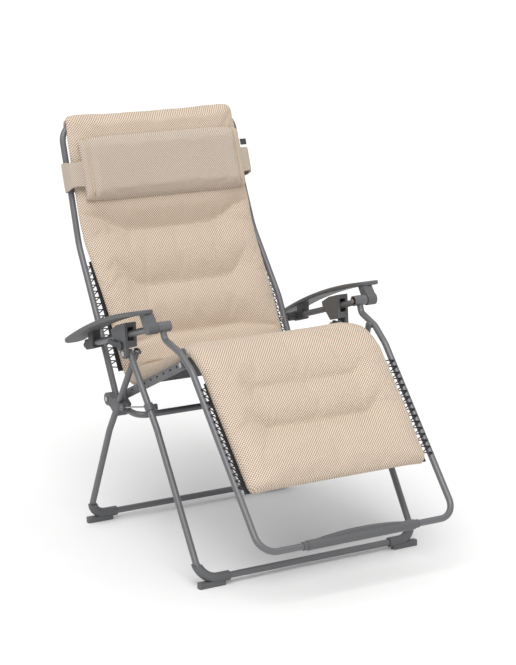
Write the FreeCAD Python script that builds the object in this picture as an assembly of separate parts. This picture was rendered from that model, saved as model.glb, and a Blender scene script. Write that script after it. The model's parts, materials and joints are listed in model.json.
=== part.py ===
import FreeCAD, Part
import math
import os

# Reclining folding chair. Millimetres, +Z up. The chair faces -Y, and X is its width.
# While it is drawn, Y is 0 at the front floor bar; at the end everything is moved so that the
# origin is the middle of the footprint box, on the floor.

# ---------------------------------------------------------------- driving dimensions
TUBE_R = 8.0
TUBE_WALL = 1.5
BAR_HEIGHT = 20.0             # floor bars' centre above the floor
CORNER_R = 45.0               # bend radius of the frames' corners

FRONT_HALF = 306.5            # half width of the front leg frame
FRONT_KNEE = (205.0, 339.0)   # slight bend in the front leg (y, z)
LEG_TOP = (337.0, 501.0)      # bolt through front leg, rear leg and lock block

REAR_HALF = 297.0             # half width of the rear frame at the floor
REAR_REACH = 583.5            # rear floor bar behind the front one
REAR_KNEE = (481.0, 270.0)    # bend in the rear leg
SIDE_GAP = 2.0                # between the front and rear legs at their pivot

HIP = (479.0, 352.0)          # back and seat pivot
BACK_LOW_HALF = 269.5         # half width of the back frame up to the armrest
BACK_HALF = 255.0             # half width at the head
BACK_BEND = (575.0, 535.0)    # bends of the back frame, from low to high
BACK_MIDDLE = (690.0, 705.0)
BACK_UPPER = (735.0, 820.0)
BACK_TOP = (794.0, 1002.0)
ARM_PIVOT_UP = 145.0          # armrest pivot above the hip, along the back frame

KNEE = (156.0, 504.0)         # seat rail to leg rest pivot
ARM_FRONT = (215.0, 587.0)    # armrest to leg rest axle
LEG_HALF = 273.5              # half width of the leg rest
LEG_TOP_HALF = 283.0
LEG_SHOULDER = (140.0, 538.0)
LEG_BEND = (90.0, 503.0)
FOOT_BAR = (-216.0, 141.0)

RAIL_INNER = 255.0            # seat rail, a flat bar on edge
RAIL_THICK = 5.0
RAIL_DEPTH = 22.0

ROD_X = 308.5                 # armrest rod
PLATE_INNER = 295.0
PLATE_OUTER = 355.0
PLATE_THICK = 11.0
PLATE_REAR = (610.0, 483.0)   # top line of the armrest plate
PLATE_MIDDLE = (435.0, 566.0)
PLATE_FRONT = (222.0, 631.0)

CUSHION_HALF = 243.0          # back cushion
SEAT_HALF = 248.0             # seat and leg cushions
CUSHION_FRONT = 31.0          # back cushion's faces in front of the tubes' centre line
CUSHION_BACK = 9.6

PIN_R = 4.0
AXLE_R = 6.0
RUNNING_FIT = 0.05            # radial clearance round pins
SLEEVE_FIT = 0.1              # moulded sleeves on tubes
BLOCK_SLACK = 8.6             # room across the rod in the lock block, the linkage's open slide
AXLE_SLACK = 4.0              # room round the leg rest axle, the linkage's open pivot
BORE_R = PIN_R + RUNNING_FIT


# ---------------------------------------------------------------- helpers
def unit(a, b):
    """Direction from a to b in the side view, and the distance."""
    length = math.hypot(b[0] - a[0], b[1] - a[1])
    return ((b[0] - a[0]) / length, (b[1] - a[1]) / length), length


def along(a, b, distance):
    (dy, dz), _ = unit(a, b)
    return (a[0] + dy * distance, a[1] + dz * distance)


def at(x, point):
    return FreeCAD.Vector(x, point[0], point[1])


def on_line(a, b, height):
    """Point of line a-b at this height."""
    share = (height - a[1]) / (b[1] - a[1])
    return (a[0] + (b[0] - a[0]) * share, height)


def bent_path(points, radii):
    """Straight runs joined by tangent arcs. radii has one value per inner point."""
    edges = []
    start = points[0]
    for i in range(1, len(points) - 1):
        here = points[i]
        back = (points[i - 1] - here).normalize()
        ahead = (points[i + 1] - here).normalize()
        half = math.acos(max(-1, min(1, back.dot(ahead)))) / 2
        reach = radii[i - 1] / math.tan(half)
        first = here + back * reach
        last = here + ahead * reach
        middle = here + (back + ahead).normalize() * (radii[i - 1] / math.sin(half) - radii[i - 1])
        edges.append(Part.LineSegment(start, first).toShape())
        edges.append(Part.Arc(first, middle, last).toShape())
        start = last
    edges.append(Part.LineSegment(start, points[-1]).toShape())
    return Part.Wire(edges)


def sweep(path, radius):
    first = path.Edges[0]
    start = first.valueAt(first.FirstParameter)
    circle = Part.Circle(start, first.tangentAt(first.FirstParameter), radius).toShape()
    return path.makePipeShell([Part.Wire([circle])], True, False)


def tube(path, radius=TUBE_R, wall=TUBE_WALL):
    return sweep(path, radius).cut(sweep(path, radius - wall))


def rod_x(radius, x0, x1, point):
    """Cylinder along X between two stations."""
    low, high = sorted((x0, x1))
    return Part.makeCylinder(radius, high - low, at(low, point), FreeCAD.Vector(1, 0, 0))


def slab(outline, x0, x1):
    """A side-view outline, a list of (y, z) corners, made thick along X."""
    low, high = sorted((x0, x1))
    corners = [at(low, p) for p in outline]
    face = Part.Face(Part.makePolygon(corners + corners[:1]))
    return face.extrude(FreeCAD.Vector(high - low, 0, 0))


def turned_slab(centre, direction, length, depth, x0, x1):
    """A rectangle centred on centre, long along direction, made thick along X."""
    (dy, dz) = direction
    (oy, oz) = (-dz, dy)
    corners = []
    for s, n in ((-1, -1), (1, -1), (1, 1), (-1, 1)):
        corners.append((centre[0] + s * dy * length / 2 + n * oy * depth / 2,
                        centre[1] + s * dz * length / 2 + n * oz * depth / 2))
    return slab(corners, x0, x1)


def rounded(solid, radius, picked=lambda edge: True):
    return solid.makeFillet(radius, [e for e in solid.Edges if picked(e)])


def mirrored(shape):
    return shape.mirror(FreeCAD.Vector(0, 0, 0), FreeCAD.Vector(1, 0, 0))


def both(shape):
    return Part.makeCompound([shape, mirrored(shape)])


def headed_pin(point, x0, x1, radius=PIN_R):
    """Rivet along X; its shank runs from x0 to x1, and thin heads close both ends."""
    head = 2.4
    shank = rod_x(radius, x0, x1, point)
    inner = rod_x(radius + 2.4, x0 - head, x0, point)
    outer = rod_x(radius + 2.4, x1, x1 + head, point)
    return shank.fuse([inner, outer]).removeSplitter()


# ---------------------------------------------------------------- places worked out from them
REAR_TOP_HALF = FRONT_HALF - 2 * TUBE_R - SIDE_GAP
ARM_PIVOT = along(HIP, BACK_BEND, ARM_PIVOT_UP)
ROD_DIRECTION, ROD_LENGTH = unit(ARM_PIVOT, ARM_FRONT)
ROD_NORMAL = (ROD_DIRECTION[1], -ROD_DIRECTION[0])
ROD_LIFT = ((ARM_PIVOT[0] - LEG_TOP[0]) * ROD_NORMAL[0]
            + (ARM_PIVOT[1] - LEG_TOP[1]) * ROD_NORMAL[1])


def by_rod(rearward, up):
    """Point given along the armrest rod (rearward) and square to it (up), from the block pin."""
    return (LEG_TOP[0] - ROD_DIRECTION[0] * rearward + ROD_NORMAL[0] * up,
            LEG_TOP[1] - ROD_DIRECTION[1] * rearward + ROD_NORMAL[1] * up)


def u_frame(side_points, radii):
    """A U-shaped tube: side_points run up one side from its top to the cross bar's corner."""
    near = [FreeCAD.Vector(-x, y, z) for x, y, z in side_points]
    far = [FreeCAD.Vector(x, y, z) for x, y, z in reversed(side_points)]
    return bent_path(near + far, radii + radii[::-1])


# ---------------------------------------------------------------- front legs
FRONT_SIDE = [(FRONT_HALF,) + along(LEG_TOP, FRONT_KNEE, -7.0),
              (FRONT_HALF,) + FRONT_KNEE,
              (FRONT_HALF, 0.0, BAR_HEIGHT)]
FRONT_PATH = u_frame(FRONT_SIDE, [120.0, CORNER_R])
FOOT_ALONG_BAR = 78.0
FOOT_UP_LEG = 34.0


def front_leg_frame():
    hole = rod_x(BORE_R, -FRONT_HALF - 20, -FRONT_HALF + 20, LEG_TOP)
    return tube(FRONT_PATH).cut(hole).cut(mirrored(hole))


def corner_foot(frame_path, half, y, toward):
    """Moulded foot round a floor corner, with a flat sole. toward is the leg's way in Y."""
    grip = TUBE_R + 4.2
    start_y = y - grip if toward > 0 else y - FOOT_UP_LEG
    keep = Part.makeBox(FOOT_ALONG_BAR + grip, FOOT_UP_LEG + grip, 52,
                        FreeCAD.Vector(-half - grip - 2, start_y, 0))
    sole = Part.makeBox(72, 17, BAR_HEIGHT - 6, FreeCAD.Vector(-half - 7, y - 8.5, 0))
    sole = rounded(sole, 4.0, lambda e: abs(e.tangentAt(e.FirstParameter).z) > 0.9)
    body = sweep(frame_path, grip).common(keep).fuse(sole)
    return body.cut(sweep(frame_path, TUBE_R + SLEEVE_FIT)).removeSplitter()


# ---------------------------------------------------------------- rear legs
REAR_SIDE = [(REAR_TOP_HALF,) + along(LEG_TOP, REAR_KNEE, -7.0),
             (REAR_TOP_HALF + 1.5,) + REAR_KNEE,
             (REAR_HALF, REAR_REACH, BAR_HEIGHT)]
REAR_PATH = u_frame(REAR_SIDE, [90.0, CORNER_R])
HIP_BLOCK = on_line(LEG_TOP, REAR_KNEE, 342.0)
CROSSBAR_HALF = 272.5
CROSSBAR_Y = 360.0
CROSSBAR_Z = 332.0


def rear_leg_frame():
    hole = rod_x(BORE_R, -REAR_TOP_HALF - 20, -REAR_TOP_HALF + 20, LEG_TOP)
    return tube(REAR_PATH).cut(hole).cut(mirrored(hole))


def crossbar_path():
    side = [(CROSSBAR_HALF, HIP_BLOCK[0] + 4, CROSSBAR_Z + 4), (CROSSBAR_HALF, CROSSBAR_Y, CROSSBAR_Z)]
    return u_frame(side, [30.0])


BUSH_R = 7.0
LOBE_INNER = 279.5
LOBE_OUTER = 297.0
BLOCK_INNER = 261.5


def hip_bracket():
    """Moulded block on the rear leg: it grips the crossbar's end and carries the hip pivot."""
    direction, _ = unit(REAR_KNEE, LEG_TOP)
    block = turned_slab(HIP_BLOCK, direction, 40.0, 34.0, -LOBE_OUTER - 2.5, -BLOCK_INNER)
    block = rounded(block, 5.0)
    nose = rod_x(9.0, -LOBE_OUTER, -LOBE_INNER, STAY_REAR)
    lobe = rod_x(16.0, -LOBE_OUTER, -LOBE_INNER, HIP)
    web = turned_slab(((HIP_BLOCK[0] + HIP[0]) / 2, (HIP_BLOCK[1] + HIP[1]) / 2),
                      unit(HIP_BLOCK, HIP)[0], HIP[0] - HIP_BLOCK[0], 26.0, -LOBE_OUTER, -LOBE_INNER)
    arm = turned_slab(((HIP_BLOCK[0] + STAY_REAR[0]) / 2, (HIP_BLOCK[1] + STAY_REAR[1]) / 2),
                      unit(HIP_BLOCK, STAY_REAR)[0], 24.0, 14.0, -LOBE_OUTER, -LOBE_INNER)
    body = block.fuse([lobe, web, nose, arm])
    body = body.cut(sweep(REAR_PATH, TUBE_R + SLEEVE_FIT))
    body = body.cut(sweep(crossbar_path(), TUBE_R + SLEEVE_FIT))
    body = body.cut(rod_x(BUSH_R + RUNNING_FIT, -LOBE_OUTER - 1, -LOBE_INNER + 1, HIP))
    slot = turned_slab(STAY_REAR, (1, 0), 40.0, 40.0, -STAY_X - 2.6, -STAY_X + 2.6)
    slot = slot.common(rod_x(11.0, -STAY_X - 2.6, -STAY_X + 2.6, STAY_REAR))
    body = body.cut(slot).cut(rod_x(1.6, -LOBE_OUTER - 1, -LOBE_INNER + 1, STAY_REAR))
    return body.removeSplitter()


def hip_bush():
    ring = rod_x(BUSH_R, -LOBE_OUTER, -LOBE_INNER, HIP)
    return ring.cut(rod_x(BORE_R, -LOBE_OUTER - 1, -LOBE_INNER + 1, HIP))


# ---------------------------------------------------------------- stay rods and their clips
STAY_X = 291.5
STAY_R = 2.0
STAY_REAR = (404.0, 347.0)
STAY_FRONT_ON_LEG = 385.0


def stay_front():
    return on_line(LEG_TOP, FRONT_KNEE, STAY_FRONT_ON_LEG)


def stay_rod():
    """Thin rod from the hip block; its free end lies in the clip on the front leg."""
    (dy, dz), length = unit(STAY_REAR, stay_front())
    start = at(-STAY_X, along(STAY_REAR, stay_front(), 3.0))
    shaft = Part.makeCylinder(STAY_R, length + 9.0, start, FreeCAD.Vector(0, dy, dz))
    eye = rod_x(4.8, -STAY_X - STAY_R - 0.3, -STAY_X + STAY_R + 0.3, STAY_REAR)
    hole = rod_x(1.6, -STAY_X - 5, -STAY_X + 5, STAY_REAR)
    return shaft.fuse(eye).cut(hole).removeSplitter()


def stay_pin():
    return rod_x(1.55, -LOBE_OUTER, -LOBE_INNER, STAY_REAR)


def stay_clip():
    """Saddle round the front leg with an open hook for the stay rod on its inner side."""
    centre = stay_front()
    direction, _ = unit(FRONT_KNEE, LEG_TOP)
    axis = FreeCAD.Vector(0, direction[0], direction[1])
    ring = Part.makeCylinder(11.5, 18.0, at(-FRONT_HALF, centre) - axis * 9.0, axis)
    (ry, rz), _ = unit(STAY_REAR, centre)
    hook = turned_slab(centre, (ry, rz), 14.0, 15.0, -STAY_X - 6.5, -STAY_X + 5.2)
    body = ring.fuse(rounded(hook, 1.5))
    body = body.cut(sweep(FRONT_PATH, TUBE_R + SLEEVE_FIT))
    groove = turned_slab((centre[0] + 10 * (-rz if rz < 0 else rz), centre[1] + 10 * abs(ry)), (ry, rz),
                         60.0, 20.0 + 2 * (STAY_R + 0.25), -STAY_X - STAY_R - 0.25, -STAY_X + STAY_R + 0.25)
    return body.cut(groove).removeSplitter()


# ---------------------------------------------------------------- back frame
BACK_SIDE = [(BACK_LOW_HALF,) + along(HIP, BACK_BEND, -11.0),
             (BACK_LOW_HALF,) + BACK_BEND,
             (BACK_HALF + 5.0,) + BACK_MIDDLE,
             (BACK_HALF,) + BACK_UPPER,
             (BACK_HALF,) + BACK_TOP]
BACK_PATH = u_frame(BACK_SIDE, [260.0, 200.0, 320.0, 50.0])


def back_frame():
    holes = [rod_x(BORE_R, -BACK_LOW_HALF - 20, -BACK_LOW_HALF + 20, p) for p in (HIP, ARM_PIVOT)]
    frame = tube(BACK_PATH).cut(Part.makeCompound(holes))
    return frame.cut(mirrored(Part.makeCompound(holes)))


def offset_line(points, distance):
    """Side-view line moved square to itself; positive is towards the sitter."""
    moved = []
    for i, p in enumerate(points):
        before = points[max(i - 1, 0)]
        after = points[min(i + 1, len(points) - 1)]
        (dy, dz), _ = unit(before, after)
        moved.append((p[0] - dz * distance, p[1] + dy * distance))
    return moved


def back_cushion():
    """Padded back: a bent slab in front of the tubes, rolled over the top bar."""
    low = along(HIP, BACK_BEND, 62.0)
    top = along(BACK_TOP, BACK_UPPER, 4.0)
    line = [low, BACK_BEND, BACK_MIDDLE, BACK_UPPER, top]
    front = offset_line(line, CUSHION_FRONT)
    rear = offset_line(line, CUSHION_BACK)
    sheet = rounded(slab(front + rear[::-1], -CUSHION_HALF, CUSHION_HALF), 9.0,
                    lambda e: e.Length > CUSHION_HALF and e.BoundBox.XLength > CUSHION_HALF
                    and (e.BoundBox.ZMax < low[1] + 30 or e.BoundBox.ZMin > BACK_UPPER[1]))
    over = TUBE_R + 1.5
    roll_half = BACK_HALF - 50.0 - 4.0
    roll = slab([(BACK_TOP[0] - CUSHION_FRONT + 4, BACK_TOP[1] - 12),
                 (BACK_TOP[0] - CUSHION_FRONT + 2, BACK_TOP[1] + over + 14),
                 (BACK_TOP[0] + over + 12, BACK_TOP[1] + over + 14),
                 (BACK_TOP[0] + over + 12, BACK_TOP[1] - 20),
                 (BACK_TOP[0] + over, BACK_TOP[1] - 20),
                 (BACK_TOP[0] + over, BACK_TOP[1] + over),
                 (BACK_TOP[0] - over, BACK_TOP[1] + over),
                 (BACK_TOP[0] - over, BACK_TOP[1] - 12)], -roll_half, roll_half)
    return sheet.fuse(roll).removeSplitter()


# ---------------------------------------------------------------- seat
def seat_rail():
    (dy, dz), length = unit(HIP, KNEE)
    middle = ((HIP[0] + KNEE[0]) / 2, (HIP[1] + KNEE[1]) / 2)
    x0 = -RAIL_INNER - RAIL_THICK
    x1 = -RAIL_INNER
    bar = turned_slab(middle, (dy, dz), length, RAIL_DEPTH, x0, x1)
    bar = bar.fuse([rod_x(RAIL_DEPTH / 2, x0, x1, HIP), rod_x(RAIL_DEPTH / 2, x0, x1, KNEE)])
    holes = [rod_x(BORE_R, x0 - 1, x1 + 1, HIP), rod_x(BORE_R, x0 - 1, x1 + 1, KNEE)]
    count = 9
    for i in range(1, count + 1):
        spot = along(HIP, KNEE, length * i / (count + 1))
        up = (spot[0] + dz * 3.0, spot[1] - dy * 3.0)
        holes.append(turned_slab(up, (dy, dz), 9.0, 5.0, x0 - 1, x1 + 1))
    return bar.cut(Part.makeCompound(holes)).removeSplitter()


def radial(centre, degrees, distance):
    return (centre[0] + distance * math.cos(math.radians(degrees)),
            centre[1] + distance * math.sin(math.radians(degrees)))


SEAT_REAR_TOP = (413.0, 432.0)
SEAT_FRONT_TOP = (228.0, 513.0)


def seat_cushion():
    """Padded seat between the rails. Its ends slope so that it clears the back and leg parts."""
    outline = [SEAT_REAR_TOP, SEAT_FRONT_TOP,
               radial(KNEE, 75.0, 25.0), radial(KNEE, 60.0, 10.0),
               along(KNEE, HIP, 30.0), along(KNEE, HIP, 262.0)]
    return rounded(slab(outline, -SEAT_HALF, SEAT_HALF), 6.0,
                   lambda e: e.BoundBox.XLength > SEAT_HALF)


# ---------------------------------------------------------------- leg rest
LEG_SIDE = [(LEG_TOP_HALF, ARM_FRONT[0] - 2, ARM_FRONT[1] - 12),
            (LEG_TOP_HALF - 1, ARM_FRONT[0] - 10, ARM_FRONT[1] - 30),
            (LEG_HALF + 4.5,) + LEG_SHOULDER,
            (LEG_HALF + 1.5,) + LEG_BEND,
            (LEG_HALF,) + FOOT_BAR]
LEG_PATH = u_frame(LEG_SIDE, [18.0, 34.0, 60.0, CORNER_R])
SOCKET_R = AXLE_R + AXLE_SLACK + 3.0
SOCKET_INNER = 264.0
SOCKET_OUTER = 299.0
LUG_INNER = RAIL_INNER + RAIL_THICK + 2.0
LUG_THICK = 5.0


def leg_socket():
    """Sleeve that hangs the leg rest on the armrest's axle. Its bore is the linkage's open pivot."""
    shell = rod_x(SOCKET_R, -SOCKET_OUTER, -SOCKET_INNER, ARM_FRONT)
    return shell.cut(rod_x(AXLE_R + AXLE_SLACK, -SOCKET_OUTER - 1, -SOCKET_INNER + 1, ARM_FRONT))


def leg_rest_frame():
    sockets = both(rod_x(SOCKET_R, -SOCKET_OUTER, -SOCKET_INNER, ARM_FRONT))
    return tube(LEG_PATH).cut(sockets)


def knee_lug():
    """Plate under the leg rest's shoulder; the knee pin runs through it and the seat rail."""
    x0 = -LUG_INNER - LUG_THICK
    x1 = -LUG_INNER
    shoulder = (LEG_SHOULDER[0] + 8, LEG_SHOULDER[1] - 1)
    (dy, dz), length = unit(KNEE, shoulder)
    middle = ((KNEE[0] + shoulder[0]) / 2, (KNEE[1] + shoulder[1]) / 2)
    plate = turned_slab(middle, (dy, dz), length, 18.0, x0, x1)
    plate = plate.fuse([rod_x(9.0, x0, x1, KNEE), rod_x(9.0, x0, x1, shoulder)])
    boss = rod_x(7.0, -LEG_HALF - 4.5, x1, shoulder)
    lug = plate.fuse(boss).cut(sweep(LEG_PATH, TUBE_R))
    return lug.cut(rod_x(BORE_R, x0 - 1, x1 + 1, KNEE)).removeSplitter()


LEG_LINE, LEG_RUN = unit(LEG_BEND, FOOT_BAR)


def by_leg(down, out):
    """Point along the leg rest from its bend, and square to it towards the sitter's legs."""
    normal = (LEG_LINE[1], -LEG_LINE[0])
    return (LEG_BEND[0] + LEG_LINE[0] * down + normal[0] * out,
            LEG_BEND[1] + LEG_LINE[1] * down + normal[1] * out)


LEG_CUSHION_END = 325.0
LEG_CUSHION_OUT = 24.0
LEG_CUSHION_IN = 12.0


def leg_cushion():
    """Padded leg part, slung between the tubes."""
    outline = [by_leg(LEG_CUSHION_END, -LEG_CUSHION_IN), by_leg(LEG_CUSHION_END, LEG_CUSHION_OUT),
               by_leg(10.0, LEG_CUSHION_OUT), radial(KNEE, 128.0, 35.0),
               radial(KNEE, 128.0, 16.0), by_leg(10.0, -LEG_CUSHION_IN)]
    return rounded(slab(outline, -SEAT_HALF, SEAT_HALF), 6.0,
                   lambda e: e.BoundBox.XLength > SEAT_HALF)


HEEL_HALF = 150.0


def heel_sleeve():
    """Moulded heel grip on the foot bar: flat below, bulged above, stepped at its ends."""
    start = at(-HEEL_HALF, FOOT_BAR)
    core = Part.makeCylinder(TUBE_R + 4.0, 2 * HEEL_HALF, start, FreeCAD.Vector(1, 0, 0))
    ends = Part.makeCylinder(TUBE_R + 2.2, 2 * HEEL_HALF + 24, start - FreeCAD.Vector(12, 0, 0),
                             FreeCAD.Vector(1, 0, 0))
    crown_top = FreeCAD.Vector(0, FOOT_BAR[0] - 6.0, FOOT_BAR[1] + TUBE_R + 11.0)
    low = at(HEEL_HALF, FOOT_BAR) + FreeCAD.Vector(0, -6, 6)
    far = at(-HEEL_HALF, FOOT_BAR) + FreeCAD.Vector(0, -6, 6)
    face = Part.Face(Part.Wire([Part.Arc(far, crown_top, low).toShape(), Part.LineSegment(low, far).toShape()]))
    crown = face.extrude(FreeCAD.Vector(0, 12, 0))
    body = core.fuse([ends, crown]).removeSplitter()
    return body.cut(Part.makeCylinder(TUBE_R + SLEEVE_FIT, 2 * HEEL_HALF + 40,
                                      start - FreeCAD.Vector(20, 0, 0), FreeCAD.Vector(1, 0, 0)))


# ---------------------------------------------------------------- armrests
ELBOW_R = 15.0
ELBOW_INNER = 301.0
ELBOW_OUTER = 327.0
ROD_REAR_REACH = 14.0         # rod past the armrest pivot


def rod_end(distance):
    return along(ARM_PIVOT, ARM_FRONT, distance)


def armrest_rod():
    path = Part.Wire([Part.LineSegment(at(-ROD_X, rod_end(-ROD_REAR_REACH)),
                                       at(-ROD_X, rod_end(ROD_LENGTH - AXLE_R - 1.5))).toShape()])
    return tube(path)


def rod_cap():
    """Round plug in the rod's rear end."""
    axis = FreeCAD.Vector(0, ROD_DIRECTION[0], ROD_DIRECTION[1])
    centre = at(-ROD_X, rod_end(-ROD_REAR_REACH))
    dome = Part.makeSphere(TUBE_R + 1.0, centre)
    cut = Part.makeCylinder(20.0, 40.0, centre, axis)
    stem = Part.makeCylinder(TUBE_R - TUBE_WALL - SLEEVE_FIT, 14.0, centre, axis)
    return dome.cut(cut).fuse(stem).removeSplitter()


def armrest_plate():
    """Arched plate: a bent strip seen from the side, cut to a round-cornered plan."""
    top = Part.Arc(at(0, PLATE_REAR), at(0, PLATE_MIDDLE), at(0, PLATE_FRONT)).toShape()
    drop = FreeCAD.Vector(0, 0, -PLATE_THICK)
    low = top.copy()
    low.translate(drop)
    ends = [Part.LineSegment(at(0, p), at(0, p) + drop).toShape() for p in (PLATE_REAR, PLATE_FRONT)]
    side = Part.Face(Part.Wire([top, ends[1], low, ends[0]]))
    strip = side.extrude(FreeCAD.Vector(-400, 0, 0))
    plan = Part.makeBox(PLATE_OUTER - PLATE_INNER, PLATE_REAR[0] - PLATE_FRONT[0], 400.0,
                        FreeCAD.Vector(-PLATE_OUTER, PLATE_FRONT[0], 400.0))
    plan = rounded(plan, 24.0, lambda e: e.BoundBox.ZLength > 300)
    plate = strip.common(plan)
    edges = [e for e in plate.Edges if e.BoundBox.ZLength < PLATE_THICK - 1 or e.Length > 60]
    return plate.makeFillet(3.5, edges) if edges else plate


def above_underside():
    """The space above the plate's underside; the posts that carry the plate stop there."""
    low = Part.Arc(at(0, PLATE_REAR), at(0, PLATE_MIDDLE), at(0, PLATE_FRONT)).toShape()
    low.translate(FreeCAD.Vector(-400, 0, -PLATE_THICK))
    rear = low.valueAt(low.FirstParameter)
    front = low.valueAt(low.LastParameter)
    rise = FreeCAD.Vector(0, 0, 400)
    sides = [Part.LineSegment(front, front + rise).toShape(),
             Part.LineSegment(front + rise, rear + rise + rise).toShape(),
             Part.LineSegment(rear + rise + rise, rear).toShape()]
    return Part.Face(Part.Wire([low] + sides)).extrude(FreeCAD.Vector(400, 0, 0))


def arm_elbow():
    """Moulding that joins rod, axle and plate at the front."""
    hub = rod_x(ELBOW_R, -ELBOW_OUTER, -ELBOW_INNER, ARM_FRONT)
    post = slab([(ARM_FRONT[0] - 9, ARM_FRONT[1] + 8), (ARM_FRONT[0] + 13, ARM_FRONT[1] - 4),
                 (ARM_FRONT[0] + 58, ARM_FRONT[1] + 60), (ARM_FRONT[0] + 34, ARM_FRONT[1] + 60)],
                -ELBOW_OUTER, -ELBOW_INNER)
    body = hub.fuse(post).cut(above_underside())
    bore = Part.makeCylinder(TUBE_R + SLEEVE_FIT, ROD_LENGTH, at(-ROD_X, ARM_PIVOT),
                             FreeCAD.Vector(0, ROD_DIRECTION[0], ROD_DIRECTION[1]))
    return body.cut(bore).cut(rod_x(AXLE_R + RUNNING_FIT, -ELBOW_OUTER + 4, -ELBOW_INNER + 1, ARM_FRONT))


def leg_axle():
    return rod_x(AXLE_R, -ELBOW_OUTER + 4.2, -SOCKET_INNER + 3, ARM_FRONT)


BRACKET_FRONT = 46.0
PIN_BLIND_END = ROD_X - TUBE_R - 0.5


def armrest_pin():
    """Pin from inside the back frame's tube into the blind hole of the armrest bracket."""
    inner = -BACK_LOW_HALF + TUBE_R + 0.4
    return rod_x(PIN_R, -PIN_BLIND_END + 0.3, inner, ARM_PIVOT).fuse(
        rod_x(PIN_R + 2.4, inner, inner + 2.4, ARM_PIVOT)).removeSplitter()


def arm_rear_bracket():
    """Moulding on the rod's rear: it carries the plate and turns on the back frame's pin."""
    axis_point = rod_end(BRACKET_FRONT / 2 - 4)
    clamp = turned_slab(axis_point, ROD_DIRECTION, BRACKET_FRONT, 26.0, -ROD_X - 12.0, -ROD_X + 10.0)
    clamp = rounded(clamp, 4.0)
    lug = rod_x(11.0, -ROD_X + 8, -BACK_LOW_HALF - TUBE_R - 2.0, ARM_PIVOT)
    post_low = rod_end(30.0)
    post = slab([(post_low[0] - 12, post_low[1]), (post_low[0] + 12, post_low[1]),
                 (post_low[0] + 12, post_low[1] + 60), (post_low[0] - 12, post_low[1] + 60)],
                -ROD_X - 12.0, -ROD_X + 10.0)
    body = clamp.fuse([lug, post]).cut(above_underside())
    bore = Part.makeCylinder(TUBE_R + SLEEVE_FIT, ROD_LENGTH, at(-ROD_X, rod_end(-60.0)),
                             FreeCAD.Vector(0, ROD_DIRECTION[0], ROD_DIRECTION[1]))
    return body.cut(bore).cut(rod_x(BORE_R, -PIN_BLIND_END, -200, ARM_PIVOT)).removeSplitter()


# ---------------------------------------------------------------- lock blocks and levers
CHEEK_GAP = 0.6
BLOCK_IN = 292.5
BLOCK_OUT = 324.0
SLOT_HALF_X = TUBE_R + 0.3
LEVER_X = 324.6
LEVER_HUB = (4.0, 20.5)       # lever pivot, rearward and up from the block pin


def lock_block():
    """Block pinned on the front leg; the armrest rod slides through its upright slot."""
    outline = [by_rod(-13, -2), by_rod(-30, 72), by_rod(12, 72),
               by_rod(48, 64.5), by_rod(48, 54), by_rod(13, -2)]
    body = slab(outline, -BLOCK_OUT, -BLOCK_IN)
    body = body.fuse(rod_x(13.0, -BLOCK_OUT, -BLOCK_IN, LEG_TOP)).removeSplitter()
    leg_slot = slab([by_rod(-60, 13), by_rod(60, 13), by_rod(60, -60), by_rod(-60, -60)],
                    -FRONT_HALF - TUBE_R - CHEEK_GAP, -BLOCK_IN + 1)
    half = TUBE_R + BLOCK_SLACK
    rod_slot = slab([by_rod(-90, ROD_LIFT - half), by_rod(90, ROD_LIFT - half),
                     by_rod(90, ROD_LIFT + half), by_rod(-90, ROD_LIFT + half)],
                    -ROD_X - SLOT_HALF_X, -ROD_X + SLOT_HALF_X)
    pin = rod_x(BORE_R, -BLOCK_OUT - 1, -BLOCK_IN + 1, LEG_TOP)
    lever = rod_x(3.05, -BLOCK_OUT - 1, -BLOCK_OUT + 14, by_rod(*LEVER_HUB))
    return body.cut(leg_slot).cut(rod_slot).cut(pin).cut(lever)


def lock_lever():
    """Flat lever on the block's outer face, with its own short pin."""
    hub_point = by_rod(*LEVER_HUB)
    tip = by_rod(LEVER_HUB[0] + 50, LEVER_HUB[1] + 16)
    x0 = -LEVER_X - 6.0
    x1 = -LEVER_X
    direction, length = unit(hub_point, tip)
    middle = ((hub_point[0] + tip[0]) / 2, (hub_point[1] + tip[1]) / 2)
    arm = turned_slab(middle, direction, length, 13.0, x0, x1)
    body = arm.fuse([rod_x(10.0, x0, x1, hub_point), rod_x(6.5, x0, x1, tip)])
    pin = rod_x(3.0, x1, -BLOCK_OUT + 12, hub_point)
    return body.fuse(pin).removeSplitter()


# ---------------------------------------------------------------- head pillow
PILLOW_HALF = 236.0


PILLOW_GAP = 4.5              # lets the pillow slide past the bend of the back
PILLOW_BOTTOM = 798.0
PILLOW_TOP = 959.0


def head_pillow():
    """Pillow on the front of the back cushion."""
    near = CUSHION_FRONT + PILLOW_GAP
    low = on_line(BACK_UPPER, BACK_TOP, PILLOW_BOTTOM)
    high = on_line(BACK_UPPER, BACK_TOP, PILLOW_TOP)
    (dy, dz), _ = unit(BACK_UPPER, BACK_TOP)
    outline = [(p[0] - dz * out, p[1] + dy * out) for p, out in
               ((low, near), (high, near), (high, near + 40), (low, near + 40))]
    body = slab(outline, -PILLOW_HALF, PILLOW_HALF)
    return rounded(body, 14.0)


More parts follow.
